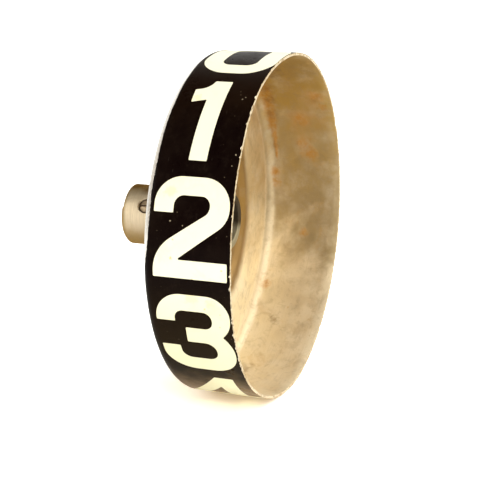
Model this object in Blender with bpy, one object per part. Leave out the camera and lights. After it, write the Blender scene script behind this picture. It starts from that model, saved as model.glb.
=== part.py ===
"""Numeral wheel of a large mechanical counter: a drawn steel cup on a turned hub.

The wheel's axis is the Y axis. The cup opens towards -Y and the hub reaches out to +Y.
The origin is on the axis, half way along the wheel. Units are metres, +Z is up.
"""

import bpy
import bmesh
from math import cos, degrees, floor, pi, radians, sin, tan
from mathutils import Matrix, Vector

# Driving dimensions of the wheel. Depths are measured along +Y from the open rim.
OVERALL_LENGTH = 0.0510
SHELL_RADIUS = 0.0505
SHEET = 0.0008
CORNER_START = 0.0220
CORNER_RADIUS = 0.0030
DISH_RADIUS = 0.0270
DISH_DEPTH = 0.0016
FACETS = 80
OUTER_BEND_STEPS = 5
INNER_BEND_STEPS = 4

# Hub, with its flange behind the dish.
HUB_RADIUS = 0.00915
HUB_BORE_RADIUS = 0.00635
HUB_INNER_END = 0.0186
HUB_CHAMFER = 0.0009
HUB_FACETS = 48
FLANGE_RADIUS = 0.0160
FLANGE_THICKNESS = 0.0016
END_STEP_DEPTH = 0.0006
END_STEP_HEIGHT = 0.0034
FIT_GAP = 0.0003

# Rivets through the dish floor and the flange.
RIVET_COUNT = 3
RIVET_CIRCLE = 0.0126
RIVET_SHANK_RADIUS = 0.0015
RIVET_HEAD_RADIUS = 0.0026
RIVET_HEAD_HEIGHT = 0.0012
RIVET_FACETS = 20
RIVET_DOME_STEPS = 4

# Set screw in the hub wall. Angles round the wheel run from the top over the -X side.
SCREW_DEPTH = 0.0432
SCREW_ANGLE = 60.0
SCREW_RADIUS = 0.002085
SCREW_LENGTH = 0.0024
SCREW_RECESS = 0.0003
SCREW_HOLE_RADIUS = 0.0022
SCREW_SLOT_WIDTH = 0.0006
SCREW_SLOT_DEPTH = 0.0008
SCREW_FACETS = 24

# Printed band: a black ground and ten numerals, one tenth of a turn apart.
FILM_GAP = 0.00006
GROUND_THICKNESS = 0.00016
GROUND_START = 0.0003
GROUND_END = 0.0217
NUMERAL_THICKNESS = 0.00012
NUMERAL_PITCH = 36.0
NUMERAL_ZERO_BASE = 22.46
NUMERAL_WIDTH = 0.0213
NUMERAL_HEIGHT = 0.0273
NUMERAL_RIM_MARGIN = 0.0004
ARC_STEPS = 4

# Worked out from the dimensions above.
OPEN_END_Y = -OVERALL_LENGTH / 2
WEB_OUTER = CORNER_START + CORNER_RADIUS
WEB_INNER = WEB_OUTER - SHEET
DISH_FLOOR_INNER = WEB_INNER + DISH_DEPTH
DISH_FLOOR_OUTER = WEB_OUTER + DISH_DEPTH
FLANGE_FRONT = DISH_FLOOR_OUTER + FIT_GAP
FLANGE_BACK = FLANGE_FRONT + FLANGE_THICKNESS
GROUND_INNER_RADIUS = SHELL_RADIUS + FILM_GAP
GROUND_OUTER_RADIUS = GROUND_INNER_RADIUS + GROUND_THICKNESS
NUMERAL_INNER_RADIUS = GROUND_OUTER_RADIUS + FILM_GAP
FACET_ANGLE = 360.0 / FACETS

# Numeral outlines, in hundredths of the numeral's width across and of its height up.
# Each corner is (across, up, corner radius as a share of the width).
UNIT = 100.0
NUMERALS = {
    0: [
        [(0, 0, 0.40), (100, 0, 0.40), (100, 100, 0.40), (0, 100, 0.40)],
        [(26, 18.5, 0.14), (74, 18.5, 0.14), (74, 81.5, 0.14), (26, 81.5, 0.14)],
    ],
    1: [
        [(36, 0, 0), (60, 0, 0), (60, 100, 0), (37, 100, 0), (32, 88.5, 0.20), (15, 85.5, 0),
         (16, 67.5, 0), (36, 71.5, 0)],
    ],
    2: [
        [(1, 0, 0), (100, 0, 0), (100, 18.5, 0), (32.5, 18.5, 0), (100, 58, 0.31), (100, 100, 0.37),
         (0, 100, 0.35), (0, 64, 0), (26, 64, 0), (26, 81.5, 0.13), (74, 81.5, 0.12), (74, 66, 0.13),
         (1, 27, 0.52)],
    ],
    3: [
        [(0, 0, 0.38), (99, 0, 0.38), (99, 42, 0.40), (87, 53.5, 0), (100, 65, 0.36), (100, 100, 0.30),
         (0, 100, 0.36), (0, 69, 0), (25, 69, 0), (25, 82, 0.12), (75.5, 82, 0.12), (75.5, 62, 0.12),
         (38, 62, 0), (37, 43.5, 0), (74.5, 43.5, 0.14), (74.5, 20, 0.14), (25, 20, 0.13), (25, 37, 0),
         (0, 37, 0)],
    ],
    4: [
        [(55, 0, 0), (80, 0, 0), (80, 21, 0), (97, 21, 0), (97, 39, 0), (80, 39, 0), (80, 100, 0),
         (54, 100, 0), (0, 41, 0), (0, 21, 0), (55, 21, 0)],
        [(23, 39, 0), (55, 39, 0), (55, 75, 0)],
    ],
    5: [
        [(0, 0, 0.38), (100, 0, 0.38), (100, 66, 0.35), (31, 66, 0), (32, 81.5, 0), (94, 81.5, 0),
         (94, 100, 0), (7, 100, 0), (4, 42, 0), (27, 42, 0), (30, 48, 0.04), (74, 48, 0.15),
         (74, 18.5, 0.15), (26, 18.5, 0.13), (26, 31, 0), (0, 31, 0)],
    ],
    6: [
        [(0, 0, 0.38), (100, 0, 0.38), (100, 63, 0.33), (26, 63, 0), (26, 81.5, 0.13), (73, 81.5, 0.09),
         (73, 73, 0), (98, 73, 0), (98, 100, 0.32), (0, 100, 0.38)],
        [(26, 18.5, 0.13), (74, 18.5, 0.13), (74, 45.5, 0.13), (26, 45.5, 0.13)],
    ],
    7: [
        [(22, 0, 0), (50, 0, 0), (58, 40, 0.90), (99, 82, 0), (99, 100, 0), (1, 100, 0),
         (1, 81, 0), (68, 81, 0), (31, 40, 0.90)],
    ],
    8: [
        [(0, 0, 0.36), (100, 0, 0.36), (100, 41, 0.40), (89, 53, 0), (98, 65, 0.38), (98, 100, 0.30),
         (2, 100, 0.30), (2, 65, 0.38), (11, 53, 0), (0, 41, 0.40)],
        [(26, 18.5, 0.13), (74, 18.5, 0.13), (74, 44, 0.13), (26, 44, 0.13)],
        [(27, 61.5, 0.12), (73, 61.5, 0.12), (73, 81.5, 0.12), (27, 81.5, 0.12)],
    ],
}
NUMERALS[9] = [[(UNIT - across, UNIT - up, radius) for across, up, radius in loop] for loop in NUMERALS[6]]


def clear_scene():
    for old in list(bpy.data.objects):
        bpy.data.objects.remove(old, do_unlink=True)


def make_material(name, colour, roughness, metallic):
    material = bpy.data.materials.new(name)
    material.use_nodes = True
    shader = material.node_tree.nodes["Principled BSDF"]
    shader.inputs["Base Color"].default_value = (*colour, 1.0)
    shader.inputs["Roughness"].default_value = roughness
    shader.inputs["Metallic"].default_value = metallic
    material.diffuse_color = (*colour, 1.0)
    return material


def add_object(name, mesh, material, parent=None):
    part = bpy.data.objects.new(name, mesh)
    bpy.context.scene.collection.objects.link(part)
    mesh.materials.append(material)
    mesh.shade_smooth()
    mesh.set_sharp_from_angle(angle=radians(30))
    part.parent = parent
    return part


def add_empty(name, location):
    empty = bpy.data.objects.new(name, None)
    empty.location = location
    bpy.context.scene.collection.objects.link(empty)
    return empty


def around_axis(radius, depth, angle):
    """The point at a radius and depth; the angle starts at the top and goes over -X."""
    turn = radians(angle)
    return Vector((-radius * sin(turn), OPEN_END_Y + depth, radius * cos(turn)))


def turned_mesh(name, profile, facets):
    """Spin a closed profile of (radius, depth) about the Y axis, one facet centred on the bottom."""
    bm = bmesh.new()
    start = 180.0 / facets
    ring = [bm.verts.new(around_axis(radius, depth, start)) for radius, depth in profile]
    edges = [bm.edges.new((ring[i], ring[(i + 1) % len(ring)])) for i in range(len(ring))]
    bmesh.ops.spin(bm, geom=ring + edges, cent=(0, 0, 0), axis=(0, 1, 0), dvec=(0, 0, 0),
                   angle=2 * pi, steps=facets, use_merge=True)
    bmesh.ops.remove_doubles(bm, verts=bm.verts, dist=1e-7)
    bmesh.ops.recalc_face_normals(bm, faces=bm.faces)
    mesh = bpy.data.meshes.new(name)
    bm.to_mesh(mesh)
    bm.free()
    return mesh


def add_cutter(name, mesh):
    cutter = bpy.data.objects.new(name, mesh)
    cutter.hide_render = True
    cutter.display_type = 'WIRE'
    bpy.context.scene.collection.objects.link(cutter)
    return cutter


def cut(part, cutter):
    modifier = part.modifiers.new(cutter.name, 'BOOLEAN')
    modifier.operation = 'DIFFERENCE'
    modifier.solver = 'EXACT'
    modifier.object = cutter


def box_cutter(name, low, high):
    low, high = Vector(low), Vector(high)
    bm = bmesh.new()
    bmesh.ops.create_cube(bm, size=1.0)
    bmesh.ops.scale(bm, vec=high - low, verts=bm.verts)
    bmesh.ops.translate(bm, vec=(low + high) / 2, verts=bm.verts)
    mesh = bpy.data.meshes.new(name)
    bm.to_mesh(mesh)
    bm.free()
    return add_cutter(name, mesh)


def cylinder_mesh(name, radius, length, facets, frame):
    """A cylinder whose axis is the frame's Z axis, centred on the frame's origin."""
    bm = bmesh.new()
    bmesh.ops.create_cone(bm, cap_ends=True, segments=facets, radius1=radius, radius2=radius,
                          depth=length, matrix=frame)
    mesh = bpy.data.meshes.new(name)
    bm.to_mesh(mesh)
    bm.free()
    return mesh


def frame_along(direction, origin, across):
    """A frame at origin whose Z axis runs along direction and whose X axis is across."""
    z_axis = Vector(direction).normalized()
    x_axis = Vector(across).normalized()
    y_axis = z_axis.cross(x_axis)
    rotation = Matrix((x_axis, y_axis, z_axis)).transposed().to_4x4()
    return Matrix.Translation(origin) @ rotation


def arc_profile(centre, radius, start, stop, steps):
    """Points (radius, depth) along an arc; the angle is 0 along the radius and 90 along the depth."""
    points = []
    for i in range(steps + 1):
        angle = radians(start + (stop - start) * i / steps)
        points.append((centre[0] + radius * cos(angle), centre[1] + radius * sin(angle)))
    return points


def add_drum(material, parent):
    """The drawn cup: band, rounded corner, web, and a shallow dish round the hub hole."""
    corner = (SHELL_RADIUS - CORNER_RADIUS, CORNER_START)
    hole = HUB_RADIUS + FIT_GAP
    slope = DISH_DEPTH
    profile = [(SHELL_RADIUS, 0.0)]
    profile += arc_profile(corner, CORNER_RADIUS, 0, 90, OUTER_BEND_STEPS)
    profile += [
        (DISH_RADIUS, WEB_OUTER),
        (DISH_RADIUS - slope, DISH_FLOOR_OUTER),
        (hole, DISH_FLOOR_OUTER),
        (hole, DISH_FLOOR_INNER),
        (DISH_RADIUS - slope, DISH_FLOOR_INNER),
        (DISH_RADIUS, WEB_INNER),
    ]
    profile += arc_profile(corner, CORNER_RADIUS - SHEET, 90, 0, INNER_BEND_STEPS)
    profile += [(SHELL_RADIUS - SHEET, 0.0)]
    drum = add_object("drum", turned_mesh("drum", profile, FACETS), material, parent)
    for i in range(RIVET_COUNT):
        cut(drum, rivet_hole_cutter(f"drum_rivet_hole_{i + 1}", i))
    return drum


def add_ground(material, parent):
    """The black printed ground that wraps the band."""
    profile = [
        (GROUND_OUTER_RADIUS, GROUND_START),
        (GROUND_OUTER_RADIUS, GROUND_END),
        (GROUND_INNER_RADIUS, GROUND_END),
        (GROUND_INNER_RADIUS, GROUND_START),
    ]
    return add_object("number_band", turned_mesh("number_band", profile, FACETS), material, parent)


def rivet_angle(index):
    """Rivets stand a third of a turn apart, the first one on the -X side."""
    return 90.0 + index * 360.0 / RIVET_COUNT


def rivet_hole_cutter(name, index):
    centre = around_axis(RIVET_CIRCLE, FLANGE_FRONT, rivet_angle(index))
    frame = frame_along((0, 1, 0), centre, (1, 0, 0))
    length = 4 * (FLANGE_BACK - DISH_FLOOR_INNER)
    return add_cutter(name, cylinder_mesh(name, RIVET_SHANK_RADIUS + FIT_GAP, length, RIVET_FACETS, frame))


def rivet_profile():
    """One rivet as (radius, height) from the tip of its domed head to its closed tail."""
    grip = FLANGE_BACK - DISH_FLOOR_INNER + 2 * FIT_GAP
    half = grip / 2
    dome = []
    for i in range(RIVET_DOME_STEPS):
        angle = radians(90.0 * i / RIVET_DOME_STEPS)
        dome.append((RIVET_HEAD_RADIUS * sin(angle), half + RIVET_HEAD_HEIGHT * cos(angle)))
    head = dome + [(RIVET_HEAD_RADIUS, half), (RIVET_SHANK_RADIUS, half)]
    tail = [(radius, -height) for radius, height in reversed(head)]
    return head + tail


def add_rivet(index, material, parent):
    """A domed rivet, closed on both sides, turned about its own axis."""
    name = f"hub_rivet_{index + 1}"
    profile = rivet_profile()
    bm = bmesh.new()
    chain = [bm.verts.new((radius, 0, height)) for radius, height in profile]
    edges = [bm.edges.new((chain[i], chain[i + 1])) for i in range(len(chain) - 1)]
    bmesh.ops.spin(bm, geom=chain + edges, cent=(0, 0, 0), axis=(0, 0, 1), dvec=(0, 0, 0),
                   angle=2 * pi, steps=RIVET_FACETS, use_merge=True)
    bmesh.ops.remove_doubles(bm, verts=bm.verts, dist=1e-7)
    bmesh.ops.recalc_face_normals(bm, faces=bm.faces)
    mesh = bpy.data.meshes.new(name)
    bm.to_mesh(mesh)
    bm.free()
    rivet = add_object(name, mesh, material, parent)
    centre = around_axis(RIVET_CIRCLE, (DISH_FLOOR_INNER + FLANGE_BACK) / 2, rivet_angle(index))
    rivet.matrix_local = frame_along((0, -1, 0), centre, (1, 0, 0))
    return rivet


def screw_direction():
    return around_axis(1.0, -OPEN_END_Y, SCREW_ANGLE)


def screw_point(radius):
    """The point of the set screw's axis at a distance from the wheel's axis."""
    return around_axis(radius, SCREW_DEPTH, SCREW_ANGLE)


def add_hub(material, parent):
    """The turned hub: bored through, chamfered, flanged and stepped at its outer end."""
    profile = [
        (HUB_BORE_RADIUS, HUB_INNER_END),
        (HUB_RADIUS - HUB_CHAMFER, HUB_INNER_END),
        (HUB_RADIUS, HUB_INNER_END + HUB_CHAMFER),
        (HUB_RADIUS, FLANGE_FRONT),
        (FLANGE_RADIUS, FLANGE_FRONT),
        (FLANGE_RADIUS, FLANGE_BACK),
        (HUB_RADIUS, FLANGE_BACK),
        (HUB_RADIUS, OVERALL_LENGTH - HUB_CHAMFER),
        (HUB_RADIUS - HUB_CHAMFER, OVERALL_LENGTH),
        (HUB_BORE_RADIUS, OVERALL_LENGTH),
    ]
    hub = add_object("hub", turned_mesh("hub", profile, HUB_FACETS), material, parent)
    outer_y = OPEN_END_Y + OVERALL_LENGTH
    clear = 2 * HUB_RADIUS
    step = box_cutter("end_step_cutter",
                      (-clear, outer_y - END_STEP_DEPTH, END_STEP_HEIGHT),
                      (clear, outer_y + clear, clear))
    frame = frame_along(screw_direction(), screw_point(HUB_RADIUS), (0, 1, 0))
    hole = add_cutter("set_screw_hole_cutter",
                      cylinder_mesh("set_screw_hole_cutter", SCREW_HOLE_RADIUS, 2 * HUB_BORE_RADIUS,
                                    SCREW_FACETS, frame))
    for cutter in (step, hole):
        cut(hub, cutter)
    for i in range(RIVET_COUNT):
        cut(hub, rivet_hole_cutter(f"flange_rivet_hole_{i + 1}", i))
    return hub


def add_set_screw(material, parent):
    """A headless slotted screw, its origin at its outer end and its local Z pointing out."""
    outer_end = HUB_RADIUS - SCREW_RECESS
    frame = frame_along(screw_direction(), screw_point(outer_end), (0, 1, 0))
    body_frame = Matrix.Translation((0, 0, -SCREW_LENGTH / 2))
    mesh = cylinder_mesh("set_screw", SCREW_RADIUS, SCREW_LENGTH, SCREW_FACETS, body_frame)
    screw = add_object("set_screw", mesh, material, parent)
    screw.matrix_local = frame
    slot = box_cutter("screw_slot_cutter",
                      (-SCREW_RADIUS * 2, -SCREW_SLOT_WIDTH / 2, -SCREW_SLOT_DEPTH),
                      (SCREW_RADIUS * 2, SCREW_SLOT_WIDTH / 2, SCREW_SLOT_DEPTH))
    slot.matrix_local = frame
    cut(screw, slot)
    return screw


def rounded_loop(corners):
    """The outline of a polygon whose corners are arcs, as points (across, up) in metres."""
    points = [Vector((across / UNIT * NUMERAL_WIDTH, up / UNIT * NUMERAL_HEIGHT)) for across, up, _ in corners]
    outline = []
    for i, corner in enumerate(points):
        radius = corners[i][2] * NUMERAL_WIDTH
        if radius == 0:
            outline.append(corner)
            continue
        before = (points[i - 1] - corner).normalized()
        after = (points[(i + 1) % len(points)] - corner).normalized()
        half_angle = before.angle(after) / 2
        tangent = radius / tan(half_angle)
        bisector = (before + after).normalized()
        centre = corner + bisector * radius / sin(half_angle)
        start = corner + before * tangent - centre
        turn = (corner + after * tangent - centre).angle_signed(start)
        steps = max(2, round(ARC_STEPS * abs(turn) / (pi / 2)))
        for k in range(steps + 1):
            outline.append(centre + Matrix.Rotation(turn * k / steps, 2) @ start)
    return outline


def facet_radius(radius, angle):
    """The distance from the axis of a faceted ring's flat at an angle, for its corner radius."""
    from_middle = (angle + FACET_ANGLE / 2) % FACET_ANGLE - FACET_ANGLE / 2
    return radius * cos(radians(FACET_ANGLE / 2)) / cos(radians(from_middle))


def add_numeral(value, material, parent):
    """A thin numeral plate, cut along the drum's facet edges and laid on its facets."""
    name = f"numeral_{value}"
    base_angle = NUMERAL_ZERO_BASE + NUMERAL_PITCH * value
    bm = bmesh.new()
    edges = []
    for corners in NUMERALS[value]:
        ring = [bm.verts.new((point.x, point.y, 0)) for point in rounded_loop(corners)]
        edges += [bm.edges.new((ring[i], ring[(i + 1) % len(ring)])) for i in range(len(ring))]
    bmesh.ops.triangle_fill(bm, use_beauty=True, use_dissolve=False, edges=edges)
    bm.normal_update()
    facing_in = [face for face in bm.faces if face.normal.z < 0]
    bmesh.ops.reverse_faces(bm, faces=facing_in)
    degrees_per_metre = degrees(1.0) / GROUND_OUTER_RADIUS
    first = floor(base_angle / FACET_ANGLE - 0.5)
    for i in range(FACETS // 4):
        edge_angle = (first - i + 0.5) * FACET_ANGLE
        up = (base_angle - edge_angle) / degrees_per_metre
        bmesh.ops.bisect_plane(bm, geom=bm.verts[:] + bm.edges[:] + bm.faces[:], dist=1e-7,
                               plane_co=(0, up, 0), plane_no=(0, 1, 0))
    lifted = bmesh.ops.extrude_face_region(bm, geom=bm.faces[:])
    top = [item for item in lifted["geom"] if isinstance(item, bmesh.types.BMVert)]
    bmesh.ops.translate(bm, vec=(0, 0, NUMERAL_THICKNESS), verts=top)
    for vert in bm.verts:
        across, up, height = vert.co
        angle = base_angle - up * degrees_per_metre
        depth = NUMERAL_RIM_MARGIN + NUMERAL_WIDTH - across
        vert.co = around_axis(facet_radius(NUMERAL_INNER_RADIUS + height, angle), depth, angle)
    mesh = bpy.data.meshes.new(name)
    bm.to_mesh(mesh)
    bm.free()
    return add_object(name, mesh, material, parent)


def main():
    clear_scene()
    steel = make_material("bare_steel", (0.42, 0.34, 0.21), 0.45, 0.9)
    black = make_material("black_enamel", (0.012, 0.009, 0.008), 0.25, 0.0)
    cream = make_material("cream_enamel", (0.93, 0.92, 0.80), 0.35, 0.0)
    alloy = make_material("turned_alloy", (0.48, 0.41, 0.29), 0.35, 1.0)
    dark = make_material("dark_steel", (0.16, 0.13, 0.10), 0.45, 0.9)
    wheel = add_empty("wheel_axis", (0, 0, 0))
    add_drum(steel, wheel)
    add_ground(black, wheel)
    for value in sorted(NUMERALS):
        add_numeral(value, cream, wheel)
    add_hub(alloy, wheel)
    for i in range(RIVET_COUNT):
        add_rivet(i, dark, wheel)
    add_set_screw(dark, wheel)


main()
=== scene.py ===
"""Looks of the numeral wheel: a worn sheet-steel cup, its printed band, and its turned hub."""

from functools import reduce
from math import cos, degrees, pi, radians, sin, tan

import bmesh
import bpy
from mathutils import Matrix, Vector, noise


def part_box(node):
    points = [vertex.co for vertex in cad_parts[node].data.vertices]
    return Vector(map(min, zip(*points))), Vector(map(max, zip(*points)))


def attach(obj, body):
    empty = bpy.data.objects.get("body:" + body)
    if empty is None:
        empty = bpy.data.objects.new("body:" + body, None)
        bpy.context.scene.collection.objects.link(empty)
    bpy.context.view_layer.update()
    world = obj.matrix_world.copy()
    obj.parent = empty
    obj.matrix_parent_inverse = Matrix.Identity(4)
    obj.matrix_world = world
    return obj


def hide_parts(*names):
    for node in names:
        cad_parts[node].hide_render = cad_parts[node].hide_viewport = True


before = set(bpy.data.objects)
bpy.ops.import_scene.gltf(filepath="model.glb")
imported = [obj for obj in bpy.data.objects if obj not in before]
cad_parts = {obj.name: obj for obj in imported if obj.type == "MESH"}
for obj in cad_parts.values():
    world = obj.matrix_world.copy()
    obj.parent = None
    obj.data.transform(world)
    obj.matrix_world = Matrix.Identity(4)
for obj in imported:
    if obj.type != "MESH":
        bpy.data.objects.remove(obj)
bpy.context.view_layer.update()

# ---------------------------------------------------------------- sizes, from the frame
# Depth is the distance behind the free rim, along +Y. Lengths are in metres, angles in degrees.
drum_low, drum_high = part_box("drum")
band_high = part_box("number_band")[1]
hub_low, hub_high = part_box("hub")
numeral_low, numeral_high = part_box("numeral_0")
screw_low, screw_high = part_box("set_screw")

FACET_HALF_ANGLE = pi / 80
RIM_Y = drum_low.y
FILM_RADIUS = band_high.z / cos(FACET_HALF_ANGLE)
FILM = 0.00008
SHELL_RADIUS = FILM_RADIUS - FILM
SHEET = 0.0008
INNER_RADIUS = SHELL_RADIUS - SHEET
CORNER_RADIUS = 0.0030
DISH_RADIUS = 0.0270
DISH_DEPTH = 0.0016
WEB_OUTER = drum_high.y - RIM_Y - DISH_DEPTH
CORNER_START = WEB_OUTER - CORNER_RADIUS
BEND = 0.0007
RIM_BEVEL = 0.00013
RIM_SHOULDER = 0.3 * RIM_BEVEL
FILLET_SHARE = 0.45
SEGMENTS = 360
BAND_ROWS = 6
CORNER_STEPS = 10

HUB_RADIUS = 0.00915
HUB_BORE_RADIUS = 0.00635
HUB_INNER_END = hub_low.y - RIM_Y
HUB_OUTER_END = hub_high.y - RIM_Y
HUB_CHAMFER = 0.0009
HUB_EASE = 0.00022
HUB_SEGMENTS = 128
BORE_INNER_CHAMFER = 0.0003
BORE_OUTER_CHAMFER = 0.0004
FLANGE_RADIUS = hub_high.z
FLANGE_FRONT = WEB_OUTER + DISH_DEPTH + 0.00005
FLANGE_BACK = WEB_OUTER + DISH_DEPTH + 0.0019
END_STEP_DEPTH = 0.0006
END_STEP_HEIGHT = 0.0034

RIVET_COUNT = 3
RIVET_CIRCLE = 0.0126
RIVET_HEAD_RADIUS = 0.0026
RIVET_HEAD_HEIGHT = 0.0012
RIVET_SHANK = 0.6
RIVET_TAIL = (0.96, 0.8)
RIVET_DENT = 0.03
RIVET_SINK = 0.0001
RIVET_FACETS = 32
RIVET_DOME_STEPS = 8

SCREW_DEPTH = (screw_low.y + screw_high.y) / 2 - RIM_Y
SCREW_ANGLE = 60.0
SCREW_RADIUS = 0.002085
SCREW_LENGTH = 0.0024
SCREW_RECESS = 0.0003
SCREW_PITCH = 0.0007
SCREW_THREAD = 0.00020
SCREW_CHAMFER = 0.00035
SCREW_SLOT_WIDTH = 0.0006
SCREW_SLOT_DEPTH = 0.0008
SCREW_STEPS = 48
HOLE_CLEARANCE = 0.00008
HOLE_THREAD = 0.00016
HOLE_TOP = 0.0012
HOLE_BOTTOM = -HUB_BORE_RADIUS * 0.7
HOLE_COUNTERSINK = 0.0003
HOLE_STEPS = 28
THREAD_FACETS = 40

NUMERAL_PITCH = 36.0
NUMERAL_ZERO_BASE = 22.46
NUMERAL_WIDTH = numeral_high.y - numeral_low.y
NUMERAL_HEIGHT = 0.0273
NUMERAL_RIM_MARGIN = numeral_low.y - RIM_Y
NUMERAL_RISE = 0.00002
NUMERAL_SINK = 0.00006
NUMERAL_STRIP = 1.5
NUMERAL_COLUMNS = 8
NUMERAL_ARC_STEPS = 14
LEAST_ARC_STEPS = 3

SMOOTH_ANGLE = 35.0
HUB_SMOOTH_ANGLE = 28.0
MERGE_DISTANCE = 1e-7

# ---------------------------------------------------------------- dents and marks
# (angle, half width of the angle, how far out or back the sheet goes there)
RIM_BULGES = [
    (322.0, 50.0, 0.00055),
    (240.0, 60.0, 0.00020),
]
RIM_WAVES = [
    (84.0, 46.0, -0.00062),
    (28.0, 30.0, 0.00045),
    (146.0, 30.0, 0.00050),
    (250.0, 90.0, -0.00020),
]
OUT_OF_ROUND = 0.00006
RIM_WAVE_REACH = 0.0030
RIM_RAGGED_REACH = 0.0012
RIM_RAGGED = 0.00005
BLACK_SETBACK = 0.00007
BLACK_LEAST_SETBACK = 0.00003
# (size, frequency round the wheel, seed, threshold) of chips in random places
RIM_NICKS = (0.0007, 22.0, 9.0, 0.42)
SMALL_CHIPS = (0.0008, 38.0, 23.0, 0.28)
LARGE_CHIPS = (0.0018, 14.0, 31.0, 0.38)
SCUFFED_CHIPS = (0.0005, 90.0, 41.0, 0.0)
# (middle angle, half width of the angle)
SCUFFED = (118.0, 30.0)
WRAPPED = (150.0, 75.0)
# How far the black reaches round the rear corner, in degrees of the corner: least, and more where wrapped.
BLACK_WRAP = (20.0, 54.0)
BLACK_WRAP_WAVE = 3.0
# (angle, half width of the angle, how far back the black is chipped there)
EDGE_CHIPS = [
    (34.0, 0.8, 0.00025),
    (45.1, 0.6, 0.00025),
    (53.5, 0.8, 0.00045),
    (56.5, 0.5, 0.00025),
    (92.4, 0.6, 0.00035),
]
# (angle, depth, size)
RUST_SPOTS = [
    (289.4, 0.0114, 0.0040),
    (285.8, 0.0097, 0.0038),
    (311.7, 0.0047, 0.0034),
    (306.0, 0.0033, 0.0024),
    (277.0, 0.0218, 0.0026),
    (273.0, 0.0219, 0.0024),
    (300.0, 0.0115, 0.0040),
    (254.4, 0.0116, 0.0022),
    (296.0, 0.0215, 0.0022),
    (233.0, 0.0217, 0.0026),
]
SCALE_SPOTS = [
    (316.0, 0.0205, 0.0038),
    (309.0, 0.0202, 0.0030),
    (302.0, 0.0210, 0.0022),
    (327.0, 0.0160, 0.0050),
    (288.0, 0.0213, 0.0018),
    (218.4, 0.0159, 0.0020),
    (190.0, 0.0180, 0.0040),
]
RUST_BLOOMS = [
    (299.0, 0.0105, 0.0085),
    (310.0, 0.0070, 0.0060),
]
NUMERAL_STAINS = [
    (35.7, 0.0168, 0.0016),
    (37.8, 0.0184, 0.0012),
    (68.1, 0.0172, 0.0024),
    (100.5, 0.0108, 0.0030),
    (101.9, 0.0056, 0.0016),
]
NUMERAL_SPECKS = [
    (82.7, 0.0158, 0.0004),
    (88.4, 0.0163, 0.0006),
    (90.9, 0.0019, 0.0004),
    (94.4, 0.0103, 0.0003),
    (103.9, 0.0072, 0.0005),
    (105.3, 0.0030, 0.0003),
    (109.9, 0.0035, 0.0003),
]
BLACK_CHIPS = [
    (35.5, 0.0040, 0.00028),
    (34.6, 0.0033, 0.00022),
    (55.8, 0.0011, 0.00030),
    (59.4, 0.0016, 0.00020),
    (77.3, 0.0168, 0.00030),
    (78.4, 0.0132, 0.00022),
]
# A band of rust along the bend, on the far side of the top; lengths round the wheel from the top.
SEAM_DEPTH = 0.0212
SEAM_FROM = -0.0700
SEAM_TO = -0.0325
SEAM_WIDTHS = (0.0009, 0.0040)

# ---------------------------------------------------------------- numeral outlines
# Hundredths of the numeral's width across and of its height up; each corner is
# (across, up, corner radius as a share of the width).
UNIT = 100.0
NUMERALS = {
    0: [
        [(0, 0, 0.40), (100, 0, 0.40), (100, 100, 0.40), (0, 100, 0.40)],
        [(26, 18.5, 0.14), (74, 18.5, 0.14), (74, 81.5, 0.14), (26, 81.5, 0.14)],
    ],
    1: [
        [(36, 0, 0), (60, 0, 0), (60, 100, 0), (37, 100, 0), (32, 88.5, 0.20), (15, 85.5, 0),
         (16, 67.5, 0), (36, 71.5, 0)],
    ],
    2: [
        [(1, 0, 0), (100, 0, 0), (100, 18.5, 0), (32.5, 18.5, 0), (100, 58, 0.31), (100, 100, 0.37),
         (0, 100, 0.35), (0, 64, 0), (26, 64, 0), (26, 81.5, 0.13), (74, 81.5, 0.12), (74, 66, 0.13),
         (1, 27, 0.52)],
    ],
    3: [
        [(0, 0, 0.38), (99, 0, 0.38), (99, 42, 0.40), (87, 53.5, 0), (100, 65, 0.36), (100, 100, 0.30),
         (0, 100, 0.36), (0, 69, 0), (25, 69, 0), (25, 82, 0.12), (75.5, 82, 0.12), (75.5, 62, 0.12),
         (38, 62, 0), (37, 43.5, 0), (74.5, 43.5, 0.14), (74.5, 20, 0.14), (25, 20, 0.13), (25, 37, 0),
         (0, 37, 0)],
    ],
    4: [
        [(55, 0, 0), (80, 0, 0), (80, 21, 0), (97, 21, 0), (97, 39, 0), (80, 39, 0), (80, 100, 0),
         (54, 100, 0), (0, 41, 0), (0, 21, 0), (55, 21, 0)],
        [(23, 39, 0), (55, 39, 0), (55, 75, 0)],
    ],
    5: [
        [(0, 0, 0.38), (100, 0, 0.38), (100, 66, 0.35), (31, 66, 0), (32, 81.5, 0), (94, 81.5, 0),
         (94, 100, 0), (7, 100, 0), (4, 42, 0), (27, 42, 0), (30, 48, 0.04), (74, 48, 0.15),
         (74, 18.5, 0.15), (26, 18.5, 0.13), (26, 31, 0), (0, 31, 0)],
    ],
    6: [
        [(0, 0, 0.38), (100, 0, 0.38), (100, 63, 0.33), (26, 63, 0), (26, 81.5, 0.13), (73, 81.5, 0.09),
         (73, 73, 0), (98, 73, 0), (98, 100, 0.32), (0, 100, 0.38)],
        [(26, 18.5, 0.13), (74, 18.5, 0.13), (74, 45.5, 0.13), (26, 45.5, 0.13)],
    ],
    7: [
        [(22, 0, 0), (50, 0, 0), (58, 40, 0.90), (99, 82, 0), (99, 100, 0), (1, 100, 0),
         (1, 81, 0), (68, 81, 0), (31, 40, 0.90)],
    ],
    8: [
        [(0, 0, 0.36), (100, 0, 0.36), (100, 41, 0.40), (89, 53, 0), (98, 65, 0.38), (98, 100, 0.30),
         (2, 100, 0.30), (2, 65, 0.38), (11, 53, 0), (0, 41, 0.40)],
        [(26, 18.5, 0.13), (74, 18.5, 0.13), (74, 44, 0.13), (26, 44, 0.13)],
        [(27, 61.5, 0.12), (73, 61.5, 0.12), (73, 81.5, 0.12), (27, 81.5, 0.12)],
    ],
}
NUMERALS[9] = [[(UNIT - across, UNIT - up, radius) for across, up, radius in loop] for loop in NUMERALS[6]]
SHARP_CORNER = 0.012

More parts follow.
